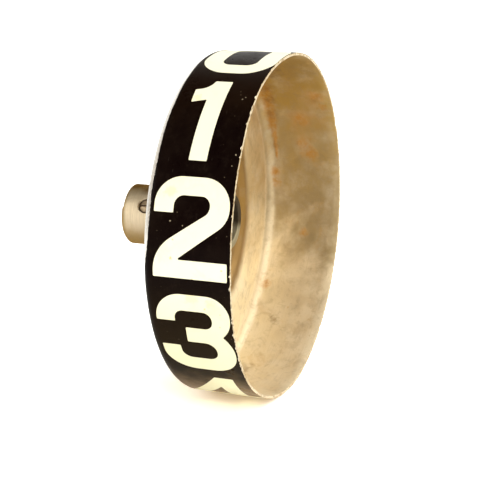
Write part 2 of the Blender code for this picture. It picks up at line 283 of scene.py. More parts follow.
# ---------------------------------------------------------------- colours, linear
# Wall and web tones: painted shade at the top, painted light low down, and the web painted lighter than the
# wall.
WALL_TOP_PAINTED_SHADE = (0.40, 0.265, 0.078)
WALL_MIDDLE_PAINTED_SHADE = (0.355, 0.270, 0.138)
WALL_LOW_PAINTED_LIGHT = (0.66, 0.55, 0.365)
WEB_TOP_PAINTED_SHADE = (0.565, 0.42, 0.215)
WEB_LOW_PAINTED_LIGHT = (0.82, 0.71, 0.48)
WEB_OUTSIDE = (0.60, 0.545, 0.46)
# Painted highlight on the inner bend.
BEND_PAINTED_HIGHLIGHT = (0.78, 0.68, 0.49)
# Rubbed bare steel on the rear corner, whitened as a painted reflection of the bright room.
RUBBED_CORNER_AND_PAINTED_SHEEN = (0.95, 0.94, 0.91)
CLEAN_STEEL = (0.70, 0.61, 0.46)
STEEL_MOTTLE = (0.30, 0.225, 0.13)
DRAWING_MARK = (0.34, 0.26, 0.16)
# Darker olive tone inside the dish round the hub.
DISH_DARK_TONE = (0.200, 0.100, 0.013)
TARNISH = (0.46, 0.29, 0.11)
DAMP_STAIN = (0.26, 0.18, 0.095)
RUST_BLOOM = (0.46, 0.235, 0.050)
RUST = (0.46, 0.205, 0.020)
DARK_SCALE = (0.20, 0.115, 0.04)

CUT_EDGE = (0.68, 0.57, 0.38)
CUT_EDGE_TAN = (0.48, 0.355, 0.18)
CUT_EDGE_NICK = (0.20, 0.11, 0.04)
PRIMER = (0.86, 0.80, 0.62)
PRIMER_WORN = (0.52, 0.42, 0.27)

BLACK = (0.0030, 0.0010, 0.0008)
BLACK_FADED = (0.0055, 0.0026, 0.0016)
BLACK_DUST = (0.09, 0.060, 0.035)
# Painted light on the black: a faint brown sheen at the top, and warm light low down that turns it brown near
# the floor.
BLACK_TOP_PAINTED_SHEEN = (0.008, 0.0030, 0.0008)
BLACK_LOWER_PAINTED_LIGHT = (0.013, 0.0075, 0.0025)
BLACK_LOWEST_PAINTED_LIGHT = (0.30, 0.185, 0.080)
PINHOLE = (0.30, 0.23, 0.14)
BLACK_CHIP = (0.50, 0.42, 0.28)
SCRATCH = (0.20, 0.16, 0.12)

CREAM = (0.87, 0.84, 0.61)
CREAM_YELLOWED = (0.87, 0.81, 0.49)
CREAM_STAIN = (0.90, 0.80, 0.45)
# Painted shade: darker and yellower numerals low down.
CREAM_LOW_PAINTED_SHADE = (0.76, 0.71, 0.44)
NUMERAL_STAIN = (0.90, 0.76, 0.36)
NUMERAL_SPECK = (0.52, 0.38, 0.13)
FLY_SPECK = (0.42, 0.34, 0.18)

ALLOY_FILMED = (0.70, 0.58, 0.38)
ALLOY_CLEAN = (0.86, 0.75, 0.56)
TOOL_RING = (0.40, 0.31, 0.20)
ALLOY_SCUFF = (0.80, 0.73, 0.60)
# Painted shade on the top and the bottom of the hub's barrel.
HUB_TOP_PAINTED_SHADE = (0.15, 0.080, 0.020)
HUB_LOW_PAINTED_SHADE = (0.34, 0.225, 0.090)
# Darker towards the hub's outer end.
HUB_END_DARKENING = (0.33, 0.225, 0.085)
# Painted shade in the bore and at the inner end, darker above and paler below; the darker one also darkens
# round the set screw.
PAINTED_SHADE_AND_DARKENING = (0.020, 0.012, 0.005)
PAINTED_SHADE_PALE = (0.28, 0.245, 0.155)
ALLOY_EDGE_TINT = (0.62, 0.45, 0.24, 1.0)

OILED_STEEL = (0.24, 0.175, 0.11)
OILED_STEEL_PALE = (0.42, 0.33, 0.22)
OILED_STEEL_RUBBED = (0.55, 0.47, 0.36)

FLOOR_TONES = ((0.94, 0.94, 0.94), (0.97, 0.97, 0.97))
# Floor glow: warm near the wheel as a painted shadow tint, near white further off.
FLOOR_WARM_SHADOW_GLOW = (1.0, 0.75, 0.40)
FLOOR_FAR_GLOW = (1.0, 0.99, 0.93)
ROOM_NEAR_SIDE = (0.36, 0.31, 0.25)
ROOM_FAR_SIDE = (1.20, 1.19, 1.15)
ROOM_CEILING = (0.22, 0.20, 0.17)
ROOM_SEEN = (1.0, 1.0, 0.99)

# ---------------------------------------------------------------- where the looks of the pieces change
# (from, to), as radii or depths
# Where the painted web-to-wall shading changes, and the span of the inner bend's painted highlight.
WEB_TO_WALL_RADII = (0.0462, 0.0482)
BEND_RADII = (0.0442, 0.0470)
BEND_DEPTHS = (0.0211, 0.0228)
# The radii of the darker olive tone inside the dish.
DISH_DARK_RADII = (0.0325, 0.0275)
# The hub's barrel, where its top and bottom painted shade lies.
BARREL_RADII = (0.0104, 0.0095)
# Where the painted shade in the bore starts, and the size of the darkening round the set screw.
BORE_SHADE_RADII = (0.0074, 0.0066)
SCREW_DARKENING_SIZE = 0.0028
FLOOR_CONTACT = (-0.004, RIM_Y + 0.010, -FILM_RADIUS)
FLOOR_GLOW_REACH = (0.008, 0.042)


# ---------------------------------------------------------------- places on the wheel
def around_axis(radius, depth, angle):
    """The point at a radius and depth; the angle starts at the top and goes over -X."""
    turn = radians(angle)
    return Vector((-radius * sin(turn), RIM_Y + depth, radius * cos(turn)))


def smoothstep(value):
    value = min(1.0, max(0.0, value))
    return value * value * (3.0 - 2.0 * value)


def ripple(angle, frequency, seed):
    """A smooth random value from -1 to 1 that closes round the wheel."""
    turn = radians(angle)
    return noise.noise(Vector((frequency * cos(turn), frequency * sin(turn), seed)))


def chips(angle, size, frequency, seed, threshold):
    """0 round most of the wheel, and up to the size where the ripple is above the threshold."""
    return size * max(0.0, ripple(angle, frequency, seed) - threshold)


def bump_at(angle, middle, half_width):
    """1 at the middle angle, falling smoothly to 0 half a width away on either side."""
    away = abs((angle - middle + 180.0) % 360.0 - 180.0)
    return smoothstep(1.0 - away / half_width)


def on_wheel(radius, depth, angle):
    """A point of the thin cup, which is a little out of round towards its free rim."""
    free = smoothstep(1.0 - depth / CORNER_START)
    outward = OUT_OF_ROUND * ripple(angle, 3.0, 4.0)
    for middle, half_width, bend in RIM_BULGES:
        outward += bend * bump_at(angle, middle, half_width)
    return around_axis(radius + free * outward, depth, angle)


def rim_wave(angle):
    """How far back the bent rim goes at an angle."""
    return sum(setback * bump_at(angle, middle, half_width) for middle, half_width, setback in RIM_WAVES)


def rim_nick(angle):
    """How far the sheared rim is set back at an angle, with a few small nicks."""
    return RIM_RAGGED * (1 + ripple(angle, 40.0, 2.0)) + chips(angle, *RIM_NICKS)


def on_rim(radius, depth, angle):
    """As on_wheel, with the trimmed edge wavy and left ragged by the shears."""
    wave = rim_wave(angle) * smoothstep(1.0 - depth / RIM_WAVE_REACH)
    ragged = rim_nick(angle) * smoothstep(1.0 - depth / RIM_RAGGED_REACH)
    return on_wheel(radius, depth + wave + ragged, angle)


# ---------------------------------------------------------------- node helper
class Graph:
    """The node tree of a material or of the world, and its one shader."""

    def __init__(self, owner, shader):
        owner.use_nodes = True
        self.owner = owner
        self.nodes = owner.node_tree.nodes
        self.links = owner.node_tree.links
        self.shader = self.nodes[shader]
        self.coordinates = self.add("ShaderNodeTexCoord").outputs
        self.object = self.coordinates["Object"]

    def add(self, kind, inputs=None, **settings):
        node = self.nodes.new(kind)
        for name, value in settings.items():
            setattr(node, name, value)
        for name, value in (inputs or {}).items():
            self.put(node.inputs[name], value)
        return node

    def put(self, socket, value):
        if isinstance(value, bpy.types.NodeSocket):
            self.links.new(value, socket)
        else:
            socket.default_value = value

    def set(self, **values):
        """Set the shader's inputs; an underscore in a name stands for a space."""
        for name, value in values.items():
            self.put(self.shader.inputs[name.replace("_", " ")], value)

    def math(self, operation, a, b=0.0):
        return self.add("ShaderNodeMath", {0: a, 1: b}, operation=operation).outputs[0]

    def times(self, a, b):
        return self.math('MULTIPLY', a, b)

    def larger(self, a, b):
        return self.math('MAXIMUM', a, b)

    def shifted(self, value, texture, reach):
        """The value moved by a noise texture, by up to half of reach either way."""
        return self.math('ADD', value, self.times(self.math('SUBTRACT', texture, 0.5), reach))

    def split(self, vector):
        return self.add("ShaderNodeSeparateXYZ", {"Vector": vector}).outputs

    def height(self):
        return self.split(self.object)["Z"]

    def noise(self, scale, detail=4.0, rough=0.55, vector=None, distortion=0.0):
        node = self.add("ShaderNodeTexNoise", {"Vector": vector or self.object, "Scale": scale,
                                               "Detail": detail, "Roughness": rough,
                                               "Distortion": distortion})
        return node.outputs["Fac"]

    def cells(self, scale, channel, low, high):
        """Distance from the middle of each random cell, and a mask that picks a few of the cells."""
        voronoi = self.add("ShaderNodeTexVoronoi", {"Vector": self.object, "Scale": scale}, feature='F1')
        number = self.add("ShaderNodeSeparateColor", {"Color": voronoi.outputs["Color"]}).outputs[channel]
        return voronoi.outputs["Distance"], self.ramp(number, low, high)

    def ramp(self, value, low, high):
        """0 below low, 1 above high, smooth between; low may be the larger one."""
        node = self.add("ShaderNodeMapRange", {"Value": value, "From Min": low, "From Max": high},
                        interpolation_type='SMOOTHSTEP')
        return node.outputs["Result"]

    def mix(self, factor, a, b):
        """Colour a where factor is 0 and colour b where it is 1."""
        node = self.add("ShaderNodeMix", data_type='RGBA')
        self.put(node.inputs["Factor"], factor)
        self.put(node.inputs["A"], (*a, 1.0) if isinstance(a, tuple) else a)
        self.put(node.inputs["B"], (*b, 1.0) if isinstance(b, tuple) else b)
        return node.outputs["Result"]

    def blend(self, factor, a, b):
        """As mix, for numbers."""
        node = self.add("ShaderNodeMix", data_type='FLOAT')
        self.put(node.inputs["Factor"], factor)
        self.put(node.inputs["A"], a)
        self.put(node.inputs["B"], b)
        return node.outputs["Result"]

    def stain(self, colour, mask, strength, tint):
        """The colour, covered with a tint to a strength where the mask is 1."""
        return self.mix(self.times(mask, strength), colour, tint)

    def wheel_coordinates(self):
        """(arc length round the wheel from the top over -X, depth from the rim, radius)."""
        x, y, z = self.split(self.object)
        angle = self.math('ARCTAN2', self.times(x, -1.0), z)
        radius = self.math('SQRT', self.math('ADD', self.times(x, x), self.times(z, z)))
        arc = self.times(angle, FILM_RADIUS)
        depth = self.math('SUBTRACT', y, RIM_Y)
        return self.add("ShaderNodeCombineXYZ", {"X": arc, "Y": depth, "Z": radius}).outputs[0]

    def stretched(self, vector, x, y, z):
        return self.add("ShaderNodeVectorMath", {0: vector, 1: (x, y, z)}, operation='MULTIPLY').outputs[0]

    def distance(self, place):
        node = self.add("ShaderNodeVectorMath", {0: self.object, 1: tuple(place)}, operation='DISTANCE')
        return node.outputs["Value"]

    def spot(self, place, size, ragged, core=0.25):
        """0 outside a ragged spot round a place, rising to 1 at the core's share of its size."""
        texture = self.add("ShaderNodeTexNoise", {"Vector": self.object, "Scale": 1.6 / size, "Detail": 4.0})
        reach = size * ragged * 4
        return self.ramp(self.shifted(self.distance(place), texture.outputs["Fac"], reach), size, size * core)

    def wall_spots(self, marks, ragged, core=0.25):
        """1 in any of the spots at (angle, depth, size) on the inside of the band."""
        masks = [self.spot(around_axis(INNER_RADIUS, depth, angle), size, ragged, core)
                 for angle, depth, size in marks]
        return reduce(self.larger, masks)

    def band_spots(self, colour, marks, ragged, strength, tint):
        """The colour with a tint in each of the spots at (angle, depth, size) on the print."""
        for angle, depth, size in marks:
            mask = self.spot(around_axis(FILM_RADIUS, depth, angle), size, ragged)
            colour = self.stain(colour, mask, strength, tint)
        return colour

    def bump(self, height, distance, strength):
        inputs = {"Height": height, "Distance": distance, "Strength": strength}
        return self.add("ShaderNodeBump", inputs).outputs["Normal"]


# ---------------------------------------------------------------- materials
def material_graph(name):
    return Graph(bpy.data.materials.new(name), "Principled BSDF")


def steel_material():
    """Bare drawn sheet: dull and tanned, with stains, rust, faint drawing marks and a darker olive tone in
    the dish round the hub.
    Its colour also holds painted shade and light: darker at the top, lighter low down, the web lighter than
    the wall, a painted highlight on the inner bend and a painted sheen on the rubbed rear corner.
    """
    g = material_graph("bare_steel")
    wheel = g.wheel_coordinates()
    arc, depth, radius = g.split(wheel)
    broad = g.noise(55.0, 5.0, 0.6, distortion=0.4)
    cloud = g.noise(170.0, 5.0, 0.6)
    mottle = g.noise(520.0, 4.0, 0.65)
    grain = g.noise(2100.0, 3.0, 0.6)
    streak = g.noise(1.0, 4.0, 0.6, vector=g.stretched(wheel, 120.0, 1500.0, 1500.0))
    shade_height = g.shifted(g.height(), broad, 0.07)

    # Painted shade and light: the wall and web are darker towards the top and lighter low down, and the web
    # is lighter than the wall, as lit and shaded copies of one sheet.
    wall = g.mix(g.ramp(shade_height, 0.000, 0.040), WALL_MIDDLE_PAINTED_SHADE, WALL_TOP_PAINTED_SHADE)
    wall = g.mix(g.ramp(shade_height, -0.008, -0.032), wall, WALL_LOW_PAINTED_LIGHT)
    web = g.mix(g.ramp(shade_height, -0.036, 0.010), WEB_LOW_PAINTED_LIGHT, WEB_TOP_PAINTED_SHADE)
    colour = g.mix(g.ramp(g.shifted(radius, cloud, -0.002), *WEB_TO_WALL_RADII), web, wall)
    dished = g.times(g.ramp(radius, DISH_RADIUS + 0.0002, DISH_RADIUS - 0.0018), DISH_DEPTH)
    behind = g.ramp(g.math('SUBTRACT', depth, dished), WEB_OUTER - 0.0006, WEB_OUTER - 0.0002)
    colour = g.stain(colour, behind, 0.65, WEB_OUTSIDE)

    bend = g.times(g.ramp(radius, *BEND_RADII), g.ramp(depth, *BEND_DEPTHS))
    # Painted highlight on the inner bend, stronger on its lower half.
    bend_highlight = g.times(bend, g.blend(g.ramp(shade_height, 0.012, -0.012), 0.10, 0.55))
    colour = g.mix(bend_highlight, colour, BEND_PAINTED_HIGHLIGHT)
    across = g.math('SUBTRACT', radius, SHELL_RADIUS - CORNER_RADIUS)
    along = g.math('SUBTRACT', depth, CORNER_START)
    from_bend = g.math('SQRT', g.math('ADD', g.times(across, across), g.times(along, along)))
    corner = g.times(g.ramp(from_bend, CORNER_RADIUS - 0.0005, CORNER_RADIUS - 0.0003),
                     g.times(g.ramp(across, -0.0020, 0.0), g.ramp(along, -0.0003, 0.0002)))

    colour = g.stain(colour, g.ramp(cloud, 0.40, 0.75), 0.30, CLEAN_STEEL)
    # The rear corner: rubbed bare steel, its colour whitened as a painted reflection of the bright room.
    colour = g.stain(colour, corner, 0.85, RUBBED_CORNER_AND_PAINTED_SHEEN)
    colour = g.stain(colour, g.ramp(mottle, 0.50, 0.70), 0.22, STEEL_MOTTLE)
    colour = g.stain(colour, g.ramp(streak, 0.52, 0.75), 0.20, DRAWING_MARK)
    # A darker olive tone inside the dish round the hub.
    colour = g.stain(colour, g.ramp(g.shifted(radius, broad, 0.006), *DISH_DARK_RADII), 0.92, DISH_DARK_TONE)
    tarnish = g.ramp(g.noise(95.0, 6.0, 0.65, distortion=0.8), 0.56, 0.70)
    colour = g.stain(colour, tarnish, 0.30, TARNISH)
    damp = g.ramp(g.noise(130.0, 5.0, 0.7, distortion=1.2), 0.50, 0.66)
    colour = g.stain(colour, damp, 0.20, DAMP_STAIN)

    off_line = g.math('ABSOLUTE', g.math('SUBTRACT', depth, SEAM_DEPTH))
    seam_width = g.blend(g.ramp(arc, SEAM_FROM, SEAM_TO), *SEAM_WIDTHS)
    seam = g.ramp(g.math('DIVIDE', g.shifted(off_line, cloud, 0.0020), seam_width), 1.0, 0.2)
    seam = g.times(seam, g.ramp(arc, SEAM_FROM, SEAM_FROM + 0.0030))
    seam = g.times(seam, g.ramp(arc, SEAM_TO, SEAM_TO - 0.0060))
    rust = g.times(g.ramp(g.noise(360.0, 3.0, 0.6), 0.68, 0.78), 0.5)
    rust = g.larger(g.larger(rust, g.wall_spots(RUST_SPOTS, 0.40, -0.10)), seam)
    rust = g.times(rust, g.ramp(g.noise(600.0, 4.0, 0.6), 0.15, 0.62))
    bloom = g.times(g.wall_spots(RUST_BLOOMS, 0.4), g.ramp(cloud, 0.25, 0.65))
    colour = g.stain(colour, bloom, 0.40, RUST_BLOOM)
    colour = g.stain(colour, rust, 0.72, RUST)
    scale = g.times(g.wall_spots(SCALE_SPOTS, 0.5), g.ramp(g.noise(420.0, 4.0, 0.7), 0.25, 0.65))
    colour = g.stain(colour, scale, 0.55, DARK_SCALE)

    rough = g.blend(g.ramp(cloud, 0.3, 0.7), 0.46, 0.62)
    rough = g.blend(bend, rough, 0.74)
    rough = g.blend(corner, rough, 0.25)
    rough = g.blend(rust, rough, 0.85)
    metal = g.blend(g.larger(rust, scale), 0.80, 0.70)
    relief = g.math('ADD', g.times(grain, 0.5), g.times(streak, 0.5))
    relief = g.math('ADD', relief, g.times(rust, 0.9))
    g.set(Base_Color=colour, Roughness=rough, Metallic=metal, Normal=g.bump(relief, 0.00006, 0.7))
    return g.owner


def cut_edge_material():
    """The sheared edge of the sheet, rubbed bright, with dark rusty nicks."""
    g = material_graph("cut_edge")
    nick = g.ramp(g.noise(900.0, 4.0, 0.7), 0.50, 0.62)
    colour = g.mix(g.ramp(g.noise(160.0, 3.0, 0.6), 0.42, 0.66), CUT_EDGE, CUT_EDGE_TAN)
    colour = g.stain(colour, nick, 0.80, CUT_EDGE_NICK)
    rough = g.blend(nick, 0.42, 0.7)
    g.set(Base_Color=colour, Roughness=rough, Metallic=0.8, Normal=g.bump(nick, 0.00004, 0.6))
    return g.owner


def primer_material():
    """The cream coat under the black, which shows where the black has chipped."""
    g = material_graph("cream_primer")
    worn = g.ramp(g.noise(700.0, 4.0, 0.6), 0.52, 0.68)
    colour = g.mix(worn, PRIMER, PRIMER_WORN)
    rough = g.blend(worn, 0.45, 0.6)
    g.set(Base_Color=colour, Roughness=rough, Metallic=0.1,
          Normal=g.bump(g.noise(1500.0), 0.00004, 0.6))
    return g.owner


def black_material():
    """Satin black print: brownish and dusty, with pinholes, small chips and hair scratches; painted light by
    height gives it a faint brown sheen at the top and warm light low down, brown near the floor."""
    g = material_graph("black_enamel")
    wheel = g.wheel_coordinates()
    broad = g.noise(120.0, 4.0, 0.6)
    dust = g.ramp(g.noise(420.0, 6.0, 0.7), 0.50, 0.78)
    # The height, shifted by noise, that places the painted light on the black.
    sheen_height = g.shifted(g.height(), broad, 0.012)
    colour = g.mix(g.ramp(broad, 0.35, 0.7), BLACK, BLACK_FADED)
    colour = g.stain(colour, dust, 0.07, BLACK_DUST)
    # Painted light by height: lighter low down, a faint brown sheen at the top, and brown near the floor.
    colour = g.mix(g.ramp(sheen_height, 0.0, -0.026), colour, BLACK_LOWER_PAINTED_LIGHT)
    colour = g.stain(colour, g.ramp(sheen_height, 0.032, 0.046), 0.8, BLACK_TOP_PAINTED_SHEEN)
    colour = g.stain(colour, g.ramp(sheen_height, -0.032, -0.050), 0.85, BLACK_LOWEST_PAINTED_LIGHT)

    from_middle, picked = g.cells(820.0, 0, 0.82, 0.86)
    clumps = g.ramp(g.noise(150.0, 4.0, 0.65), 0.46, 0.60)
    pinhole = g.times(g.ramp(from_middle, 0.15, 0.06), g.times(picked, clumps))
    colour = g.stain(colour, pinhole, 0.40, PINHOLE)
    colour = g.band_spots(colour, BLACK_CHIPS, 0.5, 0.55, BLACK_CHIP)
    scratch = g.noise(1.0, 2.0, 0.5, vector=g.stretched(wheel, 260.0, 2600.0, 100.0))
    scratch = g.ramp(scratch, 0.73, 0.80)
    colour = g.stain(colour, scratch, 0.25, SCRATCH)

    rough = g.blend(g.ramp(broad, 0.3, 0.7), 0.26, 0.38)
    rough = g.blend(dust, rough, 0.55)
    relief = g.math('SUBTRACT', g.noise(900.0, 4.0, 0.6), g.math('ADD', pinhole, scratch))
    g.set(Base_Color=colour, Roughness=rough, Normal=g.bump(relief, 0.00002, 0.5),
          Specular_IOR_Level=0.03)
    return g.owner


def cream_material():
    """Cream white enamel, faintly yellowed in patches, with a few brown fly specks, and painted shade that
    makes it darker and yellower low down.
    """
    g = material_graph("cream_enamel")
    yellow = g.ramp(g.noise(90.0, 5.0, 0.6, distortion=0.6), 0.50, 0.74)
    stain = g.ramp(g.noise(260.0, 5.0, 0.65, distortion=1.0), 0.62, 0.75)
    # Painted shade: darker and yellower towards the bottom.
    low_shade = g.ramp(g.math('ADD', g.height(), g.times(yellow, -0.010)), 0.002, -0.024)
    colour = g.stain(CREAM, yellow, 0.5, CREAM_YELLOWED)
    colour = g.stain(colour, stain, 0.35, CREAM_STAIN)
    colour = g.stain(colour, low_shade, 0.8, CREAM_LOW_PAINTED_SHADE)
    colour = g.band_spots(colour, NUMERAL_STAINS, 0.6, 0.55, NUMERAL_STAIN)
    colour = g.band_spots(colour, NUMERAL_SPECKS, 0.5, 0.7, NUMERAL_SPECK)
    from_middle, picked = g.cells(210.0, 1, 0.93, 0.95)
    speck = g.times(g.ramp(from_middle, 0.09, 0.04), picked)
    colour = g.stain(colour, speck, 0.8, FLY_SPECK)
    rough = g.blend(yellow, 0.38, 0.5)
    relief = g.math('SUBTRACT', g.noise(800.0, 4.0, 0.6), speck)
    g.set(Base_Color=colour, Roughness=rough, Normal=g.bump(relief, 0.00002, 0.5))
    return g.owner


def alloy_material():
    """Turned light alloy: fine tool rings round the axis, brown film and dull scuffs. Painted shade darkens
    the top and bottom of the barrel, and the bore and the inner end (paler low down); the hub is also darker
    towards its outer end and round the set screw."""
    g = material_graph("turned_alloy")
    wheel = g.wheel_coordinates()
    _, depth, radius = g.split(wheel)
    rings = g.noise(1.0, 3.0, 0.6, vector=g.stretched(wheel, 30.0, 5200.0, 5200.0))
    film = g.noise(190.0, 5.0, 0.6, distortion=0.5)
    scuff = g.ramp(g.noise(520.0, 5.0, 0.7), 0.55, 0.75)
    shade_height = g.shifted(g.height(), film, 0.003)
    colour = g.mix(g.ramp(film, 0.30, 0.62), ALLOY_FILMED, ALLOY_CLEAN)
    colour = g.stain(colour, g.ramp(rings, 0.40, 0.70), 0.30, TOOL_RING)
    colour = g.stain(colour, scuff, 0.35, ALLOY_SCUFF)

    barrel = g.ramp(radius, *BARREL_RADII)
    # Painted shade: the top and the bottom of the barrel are darker.
    top_shade = g.times(g.times(g.ramp(shade_height, 0.0064, 0.0092), 0.95), barrel)
    bottom_shade = g.times(g.times(g.ramp(shade_height, 0.0028, -0.0066), 0.90), barrel)
    # Darker towards the outer end.
    outer_end = g.ramp(depth, HUB_OUTER_END - 0.0018, HUB_OUTER_END - 0.0009)
    colour = g.mix(top_shade, colour, HUB_TOP_PAINTED_SHADE)
    colour = g.mix(bottom_shade, colour, HUB_LOW_PAINTED_SHADE)
    colour = g.stain(colour, outer_end, 0.75, HUB_END_DARKENING)

    # Painted shade in the bore and at the inner end, darker above and paler below, and a darkening round the
    # set screw.
    round_screw = g.spot(around_axis(HUB_RADIUS, SCREW_DEPTH, SCREW_ANGLE), SCREW_DARKENING_SIZE, 0.25)
    inner_end = g.ramp(depth, HUB_INNER_END + 0.0050, HUB_INNER_END + 0.0020)
    shade_and_darkening = g.larger(g.times(round_screw, 0.5), g.ramp(radius, *BORE_SHADE_RADII))
    shade_and_darkening = g.larger(shade_and_darkening, inner_end)
    colour = g.stain(colour, shade_and_darkening, 0.94, g.mix(g.ramp(shade_height, -0.0010, -0.0045), PAINTED_SHADE_AND_DARKENING, PAINTED_SHADE_PALE))

    rough = g.blend(g.ramp(film, 0.3, 0.7), 0.48, 0.62)
    rough = g.blend(shade_and_darkening, rough, 0.7)
    relief = g.math('ADD', g.times(rings, 0.8), g.times(scuff, 0.2))
    g.set(Base_Color=colour, Roughness=rough, Metallic=0.97, Normal=g.bump(relief, 0.00004, 0.6),
          Specular_Tint=ALLOY_EDGE_TINT)
    return g.owner


def dark_steel_material():
    """Oiled steel of the rivets and the screw, rubbed bright in places."""
    g = material_graph("dark_steel")
    film = g.noise(600.0, 5.0, 0.6)
    rubbed = g.ramp(g.noise(1400.0, 4.0, 0.6), 0.55, 0.72)
    colour = g.mix(g.ramp(film, 0.35, 0.7), OILED_STEEL, OILED_STEEL_PALE)
    colour = g.stain(colour, rubbed, 0.5, OILED_STEEL_RUBBED)
    rough = g.blend(rubbed, 0.5, 0.33)
    g.set(Base_Color=colour, Roughness=rough, Metallic=0.9, Normal=g.bump(film, 0.00006, 0.6))
    return g.owner


def floor_material():
    """A white surface that glows: brighter to the eye than as light, with a painted warm shadow tint near the
    wheel and a little light onto the wheel.
    """
    g = material_graph("pale_floor")
    tone = g.noise(4.0, 3.0, 0.5)
    away = g.ramp(g.distance(FLOOR_CONTACT), *FLOOR_GLOW_REACH)
    seen = g.add("ShaderNodeLightPath").outputs["Is Camera Ray"]
    # The floor glows though it is no lamp: it gives a little light onto the wheel, and to the eye it is a
    # warm painted shadow tint near the wheel and white further off.
    glow = g.blend(seen, 0.16, g.blend(away, 0.42, 0.80))
    g.set(Base_Color=g.mix(tone, *FLOOR_TONES), Roughness=0.6,
          Emission_Color=g.mix(away, FLOOR_WARM_SHADOW_GLOW, FLOOR_FAR_GLOW), Emission_Strength=glow)
    return g.owner


# ---------------------------------------------------------------- mesh helpers
def arc_points(centre, radius, start, stop, steps):
    """(radius, depth) points on an arc; angle 0 is along the radius, 90 along the depth."""
    points = []
    for i in range(steps + 1):
        angle = radians(start + (stop - start) * i / steps)
        points.append((centre[0] + radius * cos(angle), centre[1] + radius * sin(angle)))
    return points


def fillet(points, bend, steps=4):
    """An open chain of (radius, depth) points with its inner corners rounded by short curves."""
    smooth = [points[0]]
    for before, corner, after in zip(points, points[1:], points[2:]):
        a, b, c = Vector(before), Vector(corner), Vector(after)
        start = b + (a - b).normalized() * min(bend, (a - b).length * FILLET_SHARE)
        stop = b + (c - b).normalized() * min(bend, (c - b).length * FILLET_SHARE)
        for i in range(steps + 1):
            t = i / steps
            point = start * (1 - t) ** 2 + b * 2 * t * (1 - t) + stop * t * t
            smooth.append((point.x, point.y))
    smooth.append(points[-1])
    return smooth


def mesh_from(name, bm):
    mesh = bpy.data.meshes.new(name)
    bm.to_mesh(mesh)
    bm.free()
    return mesh


def face_outward(mesh):
    bm = bmesh.new()
    bm.from_mesh(mesh)
    bmesh.ops.recalc_face_normals(bm, faces=bm.faces)
    if bm.calc_volume(signed=True) < 0:
        bmesh.ops.reverse_faces(bm, faces=bm.faces)
    bm.to_mesh(mesh)
    bm.free()


def turned(name, profile, segments, place, material_of=None):
    """A closed profile of (radius, depth) swept round the wheel's axis."""
    count = len(profile)
    verts = []
    faces = []
    for s in range(segments):
        angle = 360.0 * s / segments
        verts += [place(radius, depth, angle) for radius, depth in profile]
        here, there = s * count, (s + 1) % segments * count
        for i in range(count):
            j = (i + 1) % count
            faces.append((here + i, here + j, there + j, there + i))
    mesh = bpy.data.meshes.new(name)
    mesh.from_pydata(verts, [], faces)
    if material_of:
        for face in mesh.polygons:
            face.material_index = material_of(face.index % count)
    face_outward(mesh)
    return mesh


def ring_of(bm, facets, height, radius_at):
    """A ring of vertices round the Z axis; the radius depends on the share of a turn."""
    ring = []
    for k in range(facets):
        turn = 2 * pi * k / facets
        radius = radius_at(k / facets)
        ring.append(bm.verts.new((radius * cos(turn), radius * sin(turn), height)))
    return ring


def loft(bm, rings):
    """Join each ring of vertices to the next one by quads."""
    for low, high in zip(rings, rings[1:]):
        for k in range(len(low)):
            j = (k + 1) % len(low)
            bm.faces.new((low[k], low[j], high[j], high[k]))


def thread_cut(height, share, deep):
    """How deep a helical thread is at a height and a share of a turn."""
    return deep * abs(((height / SCREW_PITCH - share) % 1.0) * 2 - 1)


def new_piece(name, mesh, materials, body="wheel", smooth=SMOOTH_ANGLE):
    piece = bpy.data.objects.new(name, mesh)
    bpy.context.scene.collection.objects.link(piece)
    for material in materials:
        mesh.materials.append(material)
    mesh.shade_smooth()
    mesh.set_sharp_from_angle(angle=radians(smooth))
    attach(piece, body)
    return piece


def apply_cuts(piece, cutters, smooth=SMOOTH_ANGLE):
    """Cut the piece by each cutter object and remove the cutters."""
    for cutter in cutters:
        modifier = piece.modifiers.new(cutter.name, 'BOOLEAN')
        modifier.operation = 'DIFFERENCE'
        modifier.solver = 'EXACT'
        modifier.object = cutter
    bpy.context.view_layer.update()
    depsgraph = bpy.context.evaluated_depsgraph_get()
    mesh = bpy.data.meshes.new_from_object(piece.evaluated_get(depsgraph))
    piece.modifiers.clear()
    piece.data = mesh
    for cutter in cutters:
        bpy.data.objects.remove(cutter, do_unlink=True)
    mesh.set_sharp_from_angle(angle=radians(smooth))


def cutter_object(name, bm):
    cutter = bpy.data.objects.new(name, mesh_from(name, bm))
    bpy.context.scene.collection.objects.link(cutter)
    return cutter


def box_cutter(name, low, high):
    bm = bmesh.new()
    bmesh.ops.create_cube(bm, size=1.0)
    bmesh.ops.scale(bm, vec=Vector(high) - Vector(low), verts=bm.verts)
    bmesh.ops.translate(bm, vec=(Vector(low) + Vector(high)) / 2, verts=bm.verts)
    return cutter_object(name, bm)


def frame_along(direction, origin, across):
    """A frame at origin whose Z axis runs along direction and whose X axis is across."""
    z_axis = Vector(direction).normalized()
    x_axis = Vector(across).normalized()
    y_axis = z_axis.cross(x_axis)
    rotation = Matrix((x_axis, y_axis, z_axis)).transposed().to_4x4()
    return Matrix.Translation(origin) @ rotation


def screw_frame(radius):
    """The set screw's frame at a radius, with Z pointing outward and X along the wheel's axis."""
    direction = around_axis(1.0, -RIM_Y, SCREW_ANGLE)
    return frame_along(direction, around_axis(radius, SCREW_DEPTH, SCREW_ANGLE), (0, 1, 0))


